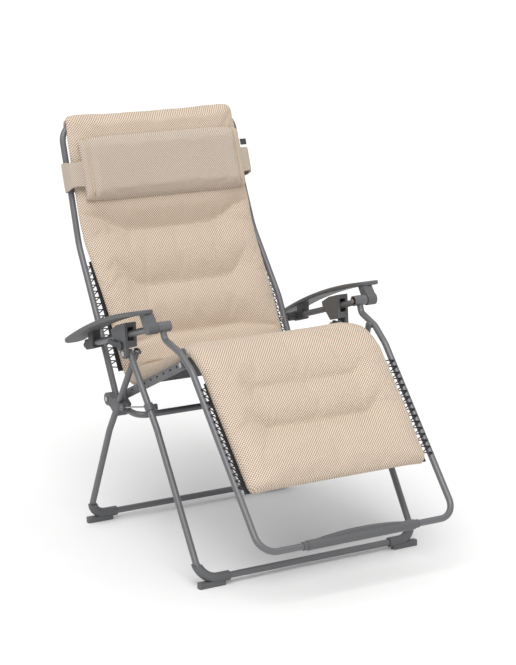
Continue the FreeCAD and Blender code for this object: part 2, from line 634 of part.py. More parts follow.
def pillow_strap():
    """Flat strap from the pillow's end round the outside and back of the frame tube."""
    low = on_line(BACK_UPPER, BACK_TOP, PILLOW_BOTTOM + 45)
    high = on_line(BACK_UPPER, BACK_TOP, PILLOW_TOP - 30)
    (dy, dz), _ = unit(BACK_UPPER, BACK_TOP)

    def ring(x0, x1, out0, out1):
        outline = [(p[0] - dz * out, p[1] + dy * out) for p, out in
                   ((low, out0), (high, out0), (high, out1), (low, out1))]
        return slab(outline, x0, x1)
    outer_x = -BACK_HALF - TUBE_R - 5.0
    front = ring(outer_x, -PILLOW_HALF - 0.3, CUSHION_FRONT + 12, CUSHION_FRONT + 15)
    side = ring(outer_x, outer_x + 3.0, -TUBE_R - 8, CUSHION_FRONT + 15)
    rear = ring(outer_x, -CUSHION_HALF + 40, -TUBE_R - 8, -TUBE_R - 5)
    return front.fuse([side, rear]).removeSplitter()


def strap_tab():
    """Small plain tab at one end of the pillow."""
    spot = on_line(BACK_UPPER, BACK_TOP, PILLOW_TOP - 45)
    (dy, dz), _ = unit(BACK_UPPER, BACK_TOP)
    out = CUSHION_FRONT + 15.2
    centre = (spot[0] - dz * (out + 0.6), spot[1] + dy * (out + 0.6))
    return turned_slab(centre, (dy, dz), 16.0, 1.2, PILLOW_HALF + 4.0, PILLOW_HALF + 22.0)


# ---------------------------------------------------------------- elastic lacing
CORD_R = 1.6
LACE_PITCH = 34.0
TURN_R = 4.0
WRAP_FRONT = 17.0             # corners of the wrap, out from the tube's centre line
WRAP_REAR = -24.0


def lacing_path(line, tube_x, edge_x, loops, start, lift):
    """Cord that zigzags from the cushion's edge round the side tube, loop after loop.
    line holds side-view points of the tube, and tube_x its half width at each of them."""
    grip = TUBE_R + CORD_R + 0.9
    points = []

    def spot(distance, out, outside):
        left = distance
        for i in range(len(line) - 1):
            (dy, dz), length = unit(line[i], line[i + 1])
            if left <= length or i == len(line) - 2:
                break
            left -= length
        x = tube_x[i] + (tube_x[i + 1] - tube_x[i]) * left / length
        x += grip if outside else edge_x - tube_x[0]
        return FreeCAD.Vector(-x, line[i][0] + dy * left - dz * out, line[i][1] + dz * left + dy * out)
    for i in range(loops):
        here = start + i * LACE_PITCH
        points.append(spot(here, lift, False))
        points.append(spot(here + LACE_PITCH * 0.42, WRAP_FRONT, True))
        points.append(spot(here + LACE_PITCH * 0.58, WRAP_REAR, True))
    points.append(spot(start + loops * LACE_PITCH, lift, False))
    radii = []
    for i in range(1, len(points) - 1):
        radii.append(TURN_R if i % 3 == 0 else 9.0)
    return bent_path(points, radii)


back_lace_path = lacing_path((HIP, BACK_BEND, BACK_MIDDLE),
                             (BACK_LOW_HALF, BACK_LOW_HALF, BACK_HALF + 5.0),
                             CUSHION_HALF + 6.0, 7, 73.5, 6.0)
leg_lace_path = lacing_path((LEG_BEND, FOOT_BAR), (LEG_HALF + 0.8, LEG_HALF + 0.8),
                            SEAT_HALF + 6.0, 8, 42.0, 4.0)


# ---------------------------------------------------------------- assembly
nodes = {}
nodes["front_leg_frame"] = front_leg_frame()
nodes["rear_leg_frame"] = rear_leg_frame()
nodes["hip_crossbar"] = tube(crossbar_path())
nodes["back_frame"] = back_frame()
nodes["leg_rest_frame"] = leg_rest_frame()
nodes["front_corner_feet"] = both(corner_foot(FRONT_PATH, FRONT_HALF, 0.0, 1))
nodes["rear_corner_feet"] = both(corner_foot(REAR_PATH, REAR_HALF, REAR_REACH, -1))
nodes["heel_sleeve"] = heel_sleeve()
nodes["back_cushion"] = back_cushion()
nodes["seat_cushion"] = seat_cushion()
nodes["leg_cushion"] = leg_cushion()
nodes["head_pillow"] = head_pillow()
nodes["strap_tab"] = strap_tab()
nodes["leg_pivot_bolts"] = both(headed_pin(LEG_TOP, -BLOCK_OUT - 0.1, -REAR_TOP_HALF + TUBE_R + 0.4))
nodes["hip_bushes"] = both(hip_bush())
nodes["hip_pins"] = both(headed_pin(HIP, -LOBE_OUTER - 0.4, -RAIL_INNER + 0.4))
nodes["knee_pins"] = both(headed_pin(KNEE, -LUG_INNER - LUG_THICK - 0.4, -RAIL_INNER + 0.4))
nodes["armrest_pins"] = both(armrest_pin())
nodes["stay_pins"] = both(stay_pin())
nodes["leg_axles"] = both(leg_axle())
nodes["rod_caps"] = both(rod_cap())

PAIRS = {"hip_bracket": hip_bracket(), "seat_rail": seat_rail(), "stay_rod": stay_rod(),
         "stay_clip": stay_clip(), "leg_socket": leg_socket(), "knee_lug": knee_lug(),
         "armrest_rod": armrest_rod(), "armrest_plate": armrest_plate(), "armrest_elbow": arm_elbow(),
         "armrest_bracket": arm_rear_bracket(), "lock_block": lock_block(), "lock_lever": lock_lever(),
         "pillow_strap": pillow_strap(), "back_lacing": sweep(back_lace_path, CORD_R),
         "leg_lacing": sweep(leg_lace_path, CORD_R)}
for name, shape in PAIRS.items():
    nodes["left_" + name] = shape
    nodes["right_" + name] = mirrored(shape)

box = FreeCAD.BoundBox()
for shape in nodes.values():
    box.add(shape.BoundBox)
TO_ORIGIN = FreeCAD.Vector(0, -(box.YMin + box.YMax) / 2, -box.ZMin)
os.makedirs("parts", exist_ok=True)
for name, shape in nodes.items():
    placed = shape.copy()
    placed.translate(TO_ORIGIN)
    placed.exportStep("parts/" + name + ".step")
print("nodes", len(nodes), "size", box.XLength, box.YLength, box.ZLength, "moved", TO_ORIGIN)
for name, shape in nodes.items():
    if not shape.isValid() or shape.Volume <= 0:
        print("check", name, shape.isValid(), shape.Volume)
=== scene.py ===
# %% [markdown]
# This lesson dresses a folding zero gravity recliner. The tubes, mouldings and pins come from a
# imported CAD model, which is loaded first and is never moved. Blender adds what CAD is poor at:
# padded fabric, straps, stitching and the surface of every material.

# %% Load the frame
import json
import math
import bpy
import numpy as np
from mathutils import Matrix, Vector


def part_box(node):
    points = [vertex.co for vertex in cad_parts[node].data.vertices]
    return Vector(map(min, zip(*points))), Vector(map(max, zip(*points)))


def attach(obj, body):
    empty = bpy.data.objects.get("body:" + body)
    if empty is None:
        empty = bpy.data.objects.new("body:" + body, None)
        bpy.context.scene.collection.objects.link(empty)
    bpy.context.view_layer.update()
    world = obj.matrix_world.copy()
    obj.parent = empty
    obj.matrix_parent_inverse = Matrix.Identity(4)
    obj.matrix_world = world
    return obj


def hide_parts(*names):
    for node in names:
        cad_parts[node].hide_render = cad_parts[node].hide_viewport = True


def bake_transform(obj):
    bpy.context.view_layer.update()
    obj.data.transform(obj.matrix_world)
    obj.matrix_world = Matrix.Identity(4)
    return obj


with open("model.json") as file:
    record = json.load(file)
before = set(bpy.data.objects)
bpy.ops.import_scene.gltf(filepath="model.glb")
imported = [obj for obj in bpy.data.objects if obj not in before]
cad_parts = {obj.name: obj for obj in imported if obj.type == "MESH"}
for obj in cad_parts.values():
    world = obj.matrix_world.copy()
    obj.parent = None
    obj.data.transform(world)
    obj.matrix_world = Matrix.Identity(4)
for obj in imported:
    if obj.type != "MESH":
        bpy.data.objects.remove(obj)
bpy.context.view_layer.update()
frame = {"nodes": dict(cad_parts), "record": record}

# %% [markdown]
# The camera stands in front of the chair, to its right-hand side as one sits in it, a little
# above the armrests. A long lens keeps the frame's straight tubes nearly parallel.

# %% Camera
camera_data = bpy.data.cameras.new("camera")
camera_data.lens = 119.1
camera = bpy.data.objects.new("camera", camera_data)
camera.location = (-2.7652, -4.5357, 1.7616)
camera.rotation_euler = Vector((0.5112, 0.8289, -0.2271)).to_track_quat("-Z", "Y").to_euler()
bpy.context.scene.collection.objects.link(camera)
bpy.context.scene.camera = camera
print("camera stands", round(camera.location.length, 2), "m from the origin")

# %% [markdown]
# A pale floor and soft studio light. The sky is brightest overhead, so round tubes get a light
# upper side and a darker flank, and one wide sun with a big angle throws only a faint shadow.

# %% Floor and light
bpy.ops.mesh.primitive_grid_add(x_subdivisions=8, y_subdivisions=8, size=80)
floor = bpy.context.object
floor.name = "studio_floor"
floor_paint = bpy.data.materials.new("floor_paint")
floor_paint.use_nodes = True
floor_paint.node_tree.nodes["Principled BSDF"].inputs["Base Color"].default_value = (0.88, 0.88, 0.88, 1)
floor_paint.node_tree.nodes["Principled BSDF"].inputs["Roughness"].default_value = 0.9
floor_paint.node_tree.nodes["Principled BSDF"].inputs["Specular IOR Level"].default_value = 0.1
floor.data.materials.append(floor_paint)

world = bpy.data.worlds.new("studio")
world.use_nodes = True
bpy.context.scene.world = world
sky = world.node_tree
coordinates = sky.nodes.new("ShaderNodeTexCoord")
split = sky.nodes.new("ShaderNodeSeparateXYZ")
ramp = sky.nodes.new("ShaderNodeValToRGB")
ramp.color_ramp.elements[0].position = 0.0
ramp.color_ramp.elements[0].color = (0.42, 0.43, 0.45, 1)
ramp.color_ramp.elements[1].position = 0.85
ramp.color_ramp.elements[1].color = (1.0, 0.99, 0.98, 1)
sky.links.new(coordinates.outputs["Generated"], split.inputs[0])
sky.links.new(split.outputs["Z"], ramp.inputs[0])
sky.links.new(ramp.outputs[0], sky.nodes["Background"].inputs["Color"])
sky.nodes["Background"].inputs["Strength"].default_value = 0.95

sun_data = bpy.data.lights.new("key_sun", "SUN")
sun_data.energy = 1.75
sun_data.angle = math.radians(40)
sun = bpy.data.objects.new("key_sun", sun_data)
sun.rotation_euler = Vector((0.45, 0.55, -1.0)).to_track_quat("-Z", "Y").to_euler()
bpy.context.scene.collection.objects.link(sun)
bpy.context.scene.view_settings.view_transform = "Standard"
print("floor and light ready")

# %% [markdown]
# Effects that several materials share are shader node groups, built once. Each takes named
# inputs and gives only colours, masks or heights. The helper below makes the group and its
# sockets, so each effect can be read as a short list of nodes and links.

# %% A helper for node groups
def new_group(name, inputs, outputs):
    group = bpy.data.node_groups.new(name, "ShaderNodeTree")
    for label, kind, value in inputs:
        made = group.interface.new_socket(name=label, in_out="INPUT", socket_type=kind)
        if value is not None:
            made.default_value = value
    for label, kind in outputs:
        group.interface.new_socket(name=label, in_out="OUTPUT", socket_type=kind)
    return group, group.nodes.new("NodeGroupInput"), group.nodes.new("NodeGroupOutput")


def maths(tree, operation, a, b=None, c=None, clamp=False):
    node = tree.nodes.new("ShaderNodeMath")
    node.operation = operation
    node.use_clamp = clamp
    for slot, value in enumerate((a, b, c)):
        if value is None:
            continue
        if isinstance(value, (int, float)):
            node.inputs[slot].default_value = value
        else:
            tree.links.new(value, node.inputs[slot])
    return node.outputs[0]


def scaled(tree, vector, factor):
    node = tree.nodes.new("ShaderNodeVectorMath")
    node.operation = "SCALE"
    tree.links.new(vector, node.inputs[0])
    if isinstance(factor, (int, float)):
        node.inputs["Scale"].default_value = factor
    else:
        tree.links.new(factor, node.inputs["Scale"])
    return node.outputs[0]


def mixed(tree, factor, a, b):
    node = tree.nodes.new("ShaderNodeMix")
    node.data_type = "RGBA"
    for value, name in ((factor, "Factor"), (a, "A"), (b, "B")):
        socket = [s for s in node.inputs if s.name == name and s.enabled][0]
        if isinstance(value, (int, float, tuple)):
            socket.default_value = value
        else:
            tree.links.new(value, socket)
    return [s for s in node.outputs if s.enabled][0]


COLOUR, VALUE, VECTOR = "NodeSocketColor", "NodeSocketFloat", "NodeSocketVector"
print("helpers ready")

# %% [markdown]
# Open knit spacer fabric. Real outdoor mesh has light knuckles of yarn with a staggered row of
# small holes between them, through which the darker lower layer shows. Two crossed cosines give
# that diamond lattice. It runs on the cloth's own coordinates in metres, so the knit keeps its
# scale round every bend.

# %% Knit group
def knit_group():
    tree, enter, leave = new_group(
        "open_knit",
        [("Cloth", VECTOR, None), ("Pitch", VALUE, 0.0064), ("Softness", VALUE, 0.35),
         ("Yarn", COLOUR, (0.86, 0.74, 0.6, 1)), ("Hole", COLOUR, (0.36, 0.25, 0.16, 1)),
         ("Variation", VALUE, 0.08)],
        [("Colour", COLOUR), ("Height", VALUE)])
    turns = maths(tree, "DIVIDE", 2 * math.pi, enter.outputs["Pitch"])
    wobble = tree.nodes.new("ShaderNodeTexNoise")
    wobble.inputs["Scale"].default_value = 60.0
    tree.links.new(enter.outputs["Cloth"], wobble.inputs["Vector"])
    shift = maths(tree, "MULTIPLY", wobble.outputs["Fac"], 0.0012)
    split = tree.nodes.new("ShaderNodeSeparateXYZ")
    tree.links.new(enter.outputs["Cloth"], split.inputs[0])
    across = maths(tree, "MULTIPLY", maths(tree, "ADD", split.outputs["X"], shift), turns)
    along = maths(tree, "MULTIPLY", maths(tree, "ADD", split.outputs["Y"], shift), turns)
    lattice = maths(tree, "MULTIPLY", maths(tree, "COSINE", across), maths(tree, "COSINE", along))
    ribs = maths(tree, "MULTIPLY", maths(tree, "COSINE", maths(tree, "ADD", across, along)), 0.22)
    shape = maths(tree, "ADD", lattice, ribs)
    holes = tree.nodes.new("ShaderNodeMapRange")
    holes.interpolation_type = "SMOOTHSTEP"
    tree.links.new(shape, holes.inputs["Value"])
    tree.links.new(enter.outputs["Softness"], holes.inputs["From Max"])
    tree.links.new(maths(tree, "MULTIPLY", enter.outputs["Softness"], -1.6), holes.inputs["From Min"])
    holes.inputs["To Min"].default_value = 1.0
    holes.inputs["To Max"].default_value = 0.0
    patches = tree.nodes.new("ShaderNodeTexNoise")
    patches.inputs["Scale"].default_value = 7.0
    patches.inputs["Detail"].default_value = 3.0
    tree.links.new(enter.outputs["Cloth"], patches.inputs["Vector"])
    fibre = tree.nodes.new("ShaderNodeTexNoise")
    fibre.inputs["Scale"].default_value = 1500.0
    tree.links.new(enter.outputs["Cloth"], fibre.inputs["Vector"])
    cloth = mixed(tree, holes.outputs["Result"], enter.outputs["Yarn"], enter.outputs["Hole"])
    uneven = maths(tree, "ADD", maths(tree, "SUBTRACT", patches.outputs["Fac"], 0.5),
                   maths(tree, "MULTIPLY", maths(tree, "SUBTRACT", fibre.outputs["Fac"], 0.5), 0.8))
    shade = maths(tree, "ADD", 1.0, maths(tree, "MULTIPLY", uneven, enter.outputs["Variation"]))
    toned = tree.nodes.new("ShaderNodeVectorMath")
    toned.operation = "SCALE"
    tree.links.new(cloth, toned.inputs[0])
    tree.links.new(shade, toned.inputs["Scale"])
    height = maths(tree, "ADD", maths(tree, "SUBTRACT", 1.0, holes.outputs["Result"]),
                   maths(tree, "MULTIPLY", fibre.outputs["Fac"], 0.15))
    tree.links.new(toned.outputs[0], leave.inputs["Colour"])
    tree.links.new(height, leave.inputs["Height"])
    return tree


KNIT = knit_group()
print("knit inputs", [s.name for s in KNIT.interface.items_tree if s.in_out == "INPUT"])

# %% [markdown]
# Plain woven webbing: fine ribs across the band and finer ones along it. The webbing strips of the
# sling, its dark underside and the sewing thread all use it at their own scale.

# %% Webbing group
def webbing_group():
    tree, enter, leave = new_group(
        "plain_weave",
        [("Cloth", VECTOR, None), ("Pitch", VALUE, 0.0016), ("Light", COLOUR, (0.1, 0.1, 0.105, 1)),
         ("Dark", COLOUR, (0.04, 0.04, 0.042, 1))],
        [("Colour", COLOUR), ("Height", VALUE)])
    turns = maths(tree, "DIVIDE", 2 * math.pi, enter.outputs["Pitch"])
    split = tree.nodes.new("ShaderNodeSeparateXYZ")
    tree.links.new(scaled(tree, enter.outputs["Cloth"], turns), split.inputs[0])
    warp = maths(tree, "SINE", split.outputs["X"])
    weft = maths(tree, "SINE", split.outputs["Y"])
    over = maths(tree, "MULTIPLY_ADD", maths(tree, "MULTIPLY", warp, weft), 0.5, 0.5, clamp=True)
    grime = tree.nodes.new("ShaderNodeTexNoise")
    grime.inputs["Scale"].default_value = 14.0
    tree.links.new(enter.outputs["Cloth"], grime.inputs["Vector"])
    uneven = maths(tree, "MULTIPLY", maths(tree, "SUBTRACT", grime.outputs["Fac"], 0.5), 0.5)
    share = maths(tree, "ADD", over, uneven, clamp=True)
    tree.links.new(mixed(tree, share, enter.outputs["Dark"], enter.outputs["Light"]), leave.inputs["Colour"])
    tree.links.new(over, leave.inputs["Height"])
    return tree


WEBBING = webbing_group()
print("webbing group ready")

# %% [markdown]
# Paint and mouldings are never one flat colour. Powder coating has a fine orange peel, moulded
# nylon a coarser spark-eroded grain, and both go lighter where hands and floors rub the edges.
# The rubbed mask compares the true normal with a rounded one, so it finds edges by itself.

# %% Grain and rubbed edge groups
def grain_group():
    tree, enter, leave = new_group(
        "surface_grain",
        [("Scale", VALUE, 900.0), ("Base", COLOUR, (0.15, 0.15, 0.16, 1)), ("Variation", VALUE, 0.12)],
        [("Colour", COLOUR), ("Height", VALUE), ("Roughness Shift", VALUE)])
    place = tree.nodes.new("ShaderNodeTexCoord")
    fine = tree.nodes.new("ShaderNodeTexNoise")
    fine.inputs["Detail"].default_value = 2.0
    tree.links.new(place.outputs["Object"], fine.inputs["Vector"])
    tree.links.new(enter.outputs["Scale"], fine.inputs["Scale"])
    broad = tree.nodes.new("ShaderNodeTexNoise")
    broad.inputs["Scale"].default_value = 9.0
    broad.inputs["Detail"].default_value = 4.0
    tree.links.new(place.outputs["Object"], broad.inputs["Vector"])
    uneven = maths(tree, "ADD", maths(tree, "SUBTRACT", broad.outputs["Fac"], 0.5),
                   maths(tree, "MULTIPLY", maths(tree, "SUBTRACT", fine.outputs["Fac"], 0.5), 0.9))
    shade = maths(tree, "ADD", 1.0, maths(tree, "MULTIPLY", uneven, enter.outputs["Variation"]))
    tree.links.new(scaled(tree, enter.outputs["Base"], shade), leave.inputs["Colour"])
    tree.links.new(fine.outputs["Fac"], leave.inputs["Height"])
    tree.links.new(maths(tree, "MULTIPLY", maths(tree, "SUBTRACT", broad.outputs["Fac"], 0.5), 0.25),
                   leave.inputs["Roughness Shift"])
    return tree


def rubbed_group():
    tree, enter, leave = new_group(
        "rubbed_edges", [("Width", VALUE, 0.0012), ("Amount", VALUE, 0.6)], [("Mask", VALUE)])
    bevel = tree.nodes.new("ShaderNodeBevel")
    bevel.samples = 4
    tree.links.new(enter.outputs["Width"], bevel.inputs["Radius"])
    surface = tree.nodes.new("ShaderNodeNewGeometry")
    dot = tree.nodes.new("ShaderNodeVectorMath")
    dot.operation = "DOT_PRODUCT"
    tree.links.new(bevel.outputs[0], dot.inputs[0])
    tree.links.new(surface.outputs["Normal"], dot.inputs[1])
    edge = maths(tree, "MULTIPLY", maths(tree, "SUBTRACT", 1.0, dot.outputs["Value"]), 9.0, clamp=True)
    place = tree.nodes.new("ShaderNodeTexCoord")
    patches = tree.nodes.new("ShaderNodeTexNoise")
    patches.inputs["Scale"].default_value = 55.0
    patches.inputs["Detail"].default_value = 5.0
    tree.links.new(place.outputs["Object"], patches.inputs["Vector"])
    patchy = maths(tree, "MULTIPLY_ADD", patches.outputs["Fac"], 3.0, -1.1, clamp=True)
    worn = maths(tree, "MULTIPLY", edge, patchy)
    tree.links.new(maths(tree, "MULTIPLY", worn, enter.outputs["Amount"]), leave.inputs["Mask"])
    return tree


GRAIN = grain_group()
RUBBED = rubbed_group()
print("groups", [g.name for g in bpy.data.node_groups])

# %% [markdown]
# Each finish is one material. Hard finishes share a recipe: grain for colour and bump, the
# rubbed mask for a lighter edge. Only the values differ, and plain numbers sit on the shader.

# %% Hard finishes
def grouped(tree, group, **values):
    node = tree.nodes.new("ShaderNodeGroup")
    node.node_tree = group
    for name, value in values.items():
        node.inputs[name].default_value = value
    return node


def hard_finish(name, base, scale, roughness, metallic, bump, wear, worn_colour, variation=0.12):
    made = bpy.data.materials.new(name)
    made.use_nodes = True
    tree = made.node_tree
    shader = tree.nodes["Principled BSDF"]
    grain = grouped(tree, GRAIN, Scale=scale, Base=base, Variation=variation)
    rubbed = grouped(tree, RUBBED, Amount=wear)
    colour = mixed(tree, rubbed.outputs["Mask"], grain.outputs["Colour"], worn_colour)
    tree.links.new(colour, shader.inputs["Base Color"])
    gloss = maths(tree, "ADD", grain.outputs["Roughness Shift"], roughness)
    tree.links.new(gloss, shader.inputs["Roughness"])
    shader.inputs["Metallic"].default_value = metallic
    relief = tree.nodes.new("ShaderNodeBump")
    relief.inputs["Distance"].default_value = 0.0003
    relief.inputs["Strength"].default_value = bump
    tree.links.new(grain.outputs["Height"], relief.inputs["Height"])
    tree.links.new(relief.outputs[0], shader.inputs["Normal"])
    return made


tube_paint = hard_finish("powder_coated_tube", base=(0.150, 0.150, 0.158, 1), scale=1400, roughness=0.40,
                         metallic=0.25, bump=0.25, wear=0.35, worn_colour=(0.3, 0.3, 0.31, 1))
moulded_grey = hard_finish("moulded_grey_nylon", base=(0.105, 0.107, 0.112, 1), scale=700, roughness=0.52,
                           metallic=0.0, bump=0.35, wear=0.5, worn_colour=(0.22, 0.22, 0.23, 1))
moulded_dark = hard_finish("moulded_dark_nylon", base=(0.045, 0.046, 0.050, 1), scale=700, roughness=0.48,
                           metallic=0.0, bump=0.35, wear=0.5, worn_colour=(0.15, 0.15, 0.16, 1))
zinc = hard_finish("zinc_plated_steel", base=(0.42, 0.42, 0.43, 1), scale=500, roughness=0.34, metallic=1.0,
                   bump=0.2, wear=0.5, worn_colour=(0.62, 0.62, 0.62, 1), variation=0.3)
print("hard finishes", [m.name for m in (tube_paint, moulded_grey, moulded_dark, zinc)])

# %% [markdown]
# The soft finishes use the knit or the weave. Fabric has almost no gloss, so roughness stays
# high, and a little sheen lifts the colour where the cloth turns away.

# %% Soft finishes
def soft_finish(name, group, pitch, bump, sheen, roughness=0.88, **colours):
    made = bpy.data.materials.new(name)
    made.use_nodes = True
    tree = made.node_tree
    shader = tree.nodes["Principled BSDF"]
    cloth = tree.nodes.new("ShaderNodeUVMap")
    cloth.uv_map = "cloth"
    weave = grouped(tree, group, Pitch=pitch, **colours)
    tree.links.new(cloth.outputs[0], weave.inputs["Cloth"])
    tree.links.new(weave.outputs["Colour"], shader.inputs["Base Color"])
    shader.inputs["Roughness"].default_value = roughness
    shader.inputs["Sheen Weight"].default_value = sheen
    shader.inputs["Sheen Roughness"].default_value = 0.45
    shader.inputs["Specular IOR Level"].default_value = 0.25
    relief = tree.nodes.new("ShaderNodeBump")
    relief.inputs["Distance"].default_value = 0.0011
    relief.inputs["Strength"].default_value = bump
    tree.links.new(weave.outputs["Height"], relief.inputs["Height"])
    tree.links.new(relief.outputs[0], shader.inputs["Normal"])
    return made


seat_fabric = soft_finish("cream_open_knit", KNIT, pitch=0.0066, bump=0.9, sheen=0.12,
                          Yarn=(0.76, 0.665, 0.555, 1), Hole=(0.40, 0.268, 0.175, 1))
pillow_fabric = soft_finish("taupe_open_knit", KNIT, pitch=0.0060, bump=0.8, sheen=0.12,
                            Yarn=(0.66, 0.585, 0.50, 1), Hole=(0.36, 0.268, 0.20, 1))
under_fabric = soft_finish("dark_under_fabric", WEBBING, pitch=0.0022, bump=0.5, sheen=0.05,
                           Light=(0.085, 0.086, 0.09, 1), Dark=(0.035, 0.035, 0.037, 1))
hem_webbing = soft_finish("black_webbing", WEBBING, pitch=0.0016, bump=0.6, sheen=0.05,
                          Light=(0.05, 0.05, 0.052, 1), Dark=(0.015, 0.015, 0.016, 1))
thread = soft_finish("sewing_thread", WEBBING, pitch=0.0007, bump=0.4, sheen=0.1,
                     Light=(0.72, 0.58, 0.43, 1), Dark=(0.5, 0.38, 0.27, 1))
print("soft finishes ready")


# %% [markdown]
# Braided elastic is round and hides its rubber under a tight black plait. A cord this thin needs
# no cloth coordinates, so the plait is drawn with waves through space.

# %% Elastic finish
def braided_elastic():
    made = bpy.data.materials.new("black_braided_elastic")
    made.use_nodes = True
    tree = made.node_tree
    shader = tree.nodes["Principled BSDF"]
    place = tree.nodes.new("ShaderNodeTexCoord")
    heights = []
    for turn in (0.7, -0.7):
        mapping = tree.nodes.new("ShaderNodeMapping")
        mapping.inputs["Rotation"].default_value = (turn, 0.3, turn)
        wave = tree.nodes.new("ShaderNodeTexWave")
        wave.inputs["Scale"].default_value = 420.0
        wave.inputs["Distortion"].default_value = 1.5
        tree.links.new(place.outputs["Object"], mapping.inputs["Vector"])
        tree.links.new(mapping.outputs[0], wave.inputs["Vector"])
        heights.append(wave.outputs["Fac"])
    plait = maths(tree, "MULTIPLY", heights[0], heights[1])
    colour = mixed(tree, plait, (0.010, 0.010, 0.011, 1), (0.055, 0.055, 0.058, 1))
    tree.links.new(colour, shader.inputs["Base Color"])
    shader.inputs["Roughness"].default_value = 0.62
    relief = tree.nodes.new("ShaderNodeBump")
    relief.inputs["Distance"].default_value = 0.0004
    tree.links.new(plait, relief.inputs["Height"])
    tree.links.new(relief.outputs[0], shader.inputs["Normal"])
    return made


elastic = braided_elastic()
FINISHES = {"frame_tube": tube_paint, "moulding": moulded_grey, "pins": zinc, "lacing": elastic}
DARK_MOULDINGS = ("left_lock_lever", "right_lock_lever", "rod_caps",
                  "left_armrest_bracket", "right_armrest_bracket")
hard_parts = [p for p in frame["record"]["subparts"] if p["material_slot"] in FINISHES]
for part in hard_parts:
    node = frame["nodes"][part["node"]]
    finish = moulded_dark if part["node"] in DARK_MOULDINGS else FINISHES[part["material_slot"]]
    node.data.materials.clear()
    node.data.materials.append(finish)
print("finished CAD nodes", len(hard_parts))

# %% [markdown]
# The sling is one long padded cloth: it rolls over the top bar, runs down in front of the back
# tubes, turns at the hip, rises over the seat to the knee and falls down the leg rest. The side
# view is drawn first, as pairs of points on its upper and lower face. Distances run back from
# the front floor bar and up from the floor, in metres.

# %% Side view of the sling
BAR_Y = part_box("front_leg_frame")[0].y + 0.008
STATIONS = [  # upper face (back, up), lower face (back, up)
    ((0.8150, 0.9840), (0.8036, 0.9840)), ((0.8160, 1.0040), (0.8036, 1.0020)),
    ((0.8070, 1.0210), (0.7995, 1.0095)), ((0.7900, 1.0285), (0.7930, 1.0116)),
    ((0.7700, 1.0240), (0.7865, 1.0090)), ((0.7600, 1.0060), (0.7845, 0.9990)),
    ((0.7057, 0.8302), (0.7259, 0.8232)), ((0.6630, 0.7202), (0.6816, 0.7097)),
    ((0.5486, 0.5512), (0.5668, 0.5400)), ((0.5100, 0.4780), (0.5290, 0.4680)),
    ((0.4880, 0.4360), (0.5065, 0.4240)), ((0.4750, 0.4190), (0.4860, 0.3960)),
    ((0.4580, 0.4190), (0.4560, 0.3820)), ((0.4130, 0.4360), (0.3980, 0.3990)),
    ((0.3180, 0.4800), (0.3030, 0.4440)), ((0.2500, 0.5090), (0.2380, 0.4740)),
    ((0.2050, 0.5240), (0.1960, 0.4960)), ((0.1780, 0.5300), (0.1740, 0.5070)),
    ((0.1500, 0.5320), (0.1520, 0.5120)), ((0.1250, 0.5290), (0.1340, 0.5080)),
    ((0.0950, 0.5210), (0.1120, 0.4990)), ((0.0652, 0.5090), (0.0927, 0.4860)),
    ((-0.0316, 0.3963), (-0.0072, 0.3756)), ((-0.1284, 0.2817), (-0.1040, 0.2610)),
    ((-0.1420, 0.2655), (-0.1176, 0.2448)),
]
SEAT_CUT, KNEE_CUT = 0.318, 0.160
STEP = 0.0065


def smooth_line(points, spread):
    """The broken line as points one millimetre apart, softened like bent cloth."""
    points = np.array(points)
    lengths = np.linalg.norm(np.diff(points, axis=0), axis=1)
    stops = np.concatenate([[0], np.cumsum(lengths)])
    fine = np.linspace(0, stops[-1], int(stops[-1] * 1000))
    line = np.stack([np.interp(fine, stops, points[:, k]) for k in range(points.shape[1])], 1)
    reach = int(spread * 3000)
    weights = np.exp(-0.5 * (np.arange(-reach, reach + 1) / (spread * 1000)) ** 2)
    padded = np.concatenate([2 * line[0] - line[reach:0:-1], line, 2 * line[-1] - line[-2:-reach - 2:-1]])
    weights /= weights.sum()
    return np.stack([np.convolve(padded[:, k], weights, "valid") for k in range(line.shape[1])], 1)


pairs = smooth_line([(a[0], a[1], b[0], b[1]) for a, b in STATIONS], 0.009)
middle = (pairs[:, :2] + pairs[:, 2:]) / 2
run = np.concatenate([[0], np.cumsum(np.linalg.norm(np.diff(middle, axis=0), axis=1))])
ROWS = int(run[-1] / STEP)
RUN = np.linspace(0, run[-1], ROWS + 1)
upper = np.stack([np.interp(RUN, run, pairs[:, k]) for k in (0, 1)], 1)
lower = np.stack([np.interp(RUN, run, pairs[:, k]) for k in (2, 3)], 1)
thick = np.linalg.norm(upper - lower, axis=1)
print("sling length", round(RUN[-1], 3), "rows", ROWS, "thickest", round(thick.max(), 3))


# %% [markdown]
# Across the chair the sling narrows a little at the waist, where the elastic pulls its sides in.
# The sewn channels are given as points across and up; each is a shallow tray with ends that
# turn up and fade out before the edge, as quilting on such chairs does.

# %% Width and sewn channels
def run_at(back_or_leg, height):
    """Distance along the sling where its upper face passes a height, on the back or on the leg."""
    part = np.where(upper[:, 0] > 0.478)[0] if back_or_leg == "back" else np.where(upper[:, 0] < 0.13)[0]
    order = part[np.argsort(upper[part, 1])]
    return float(np.interp(height, upper[order, 1], RUN[order]))


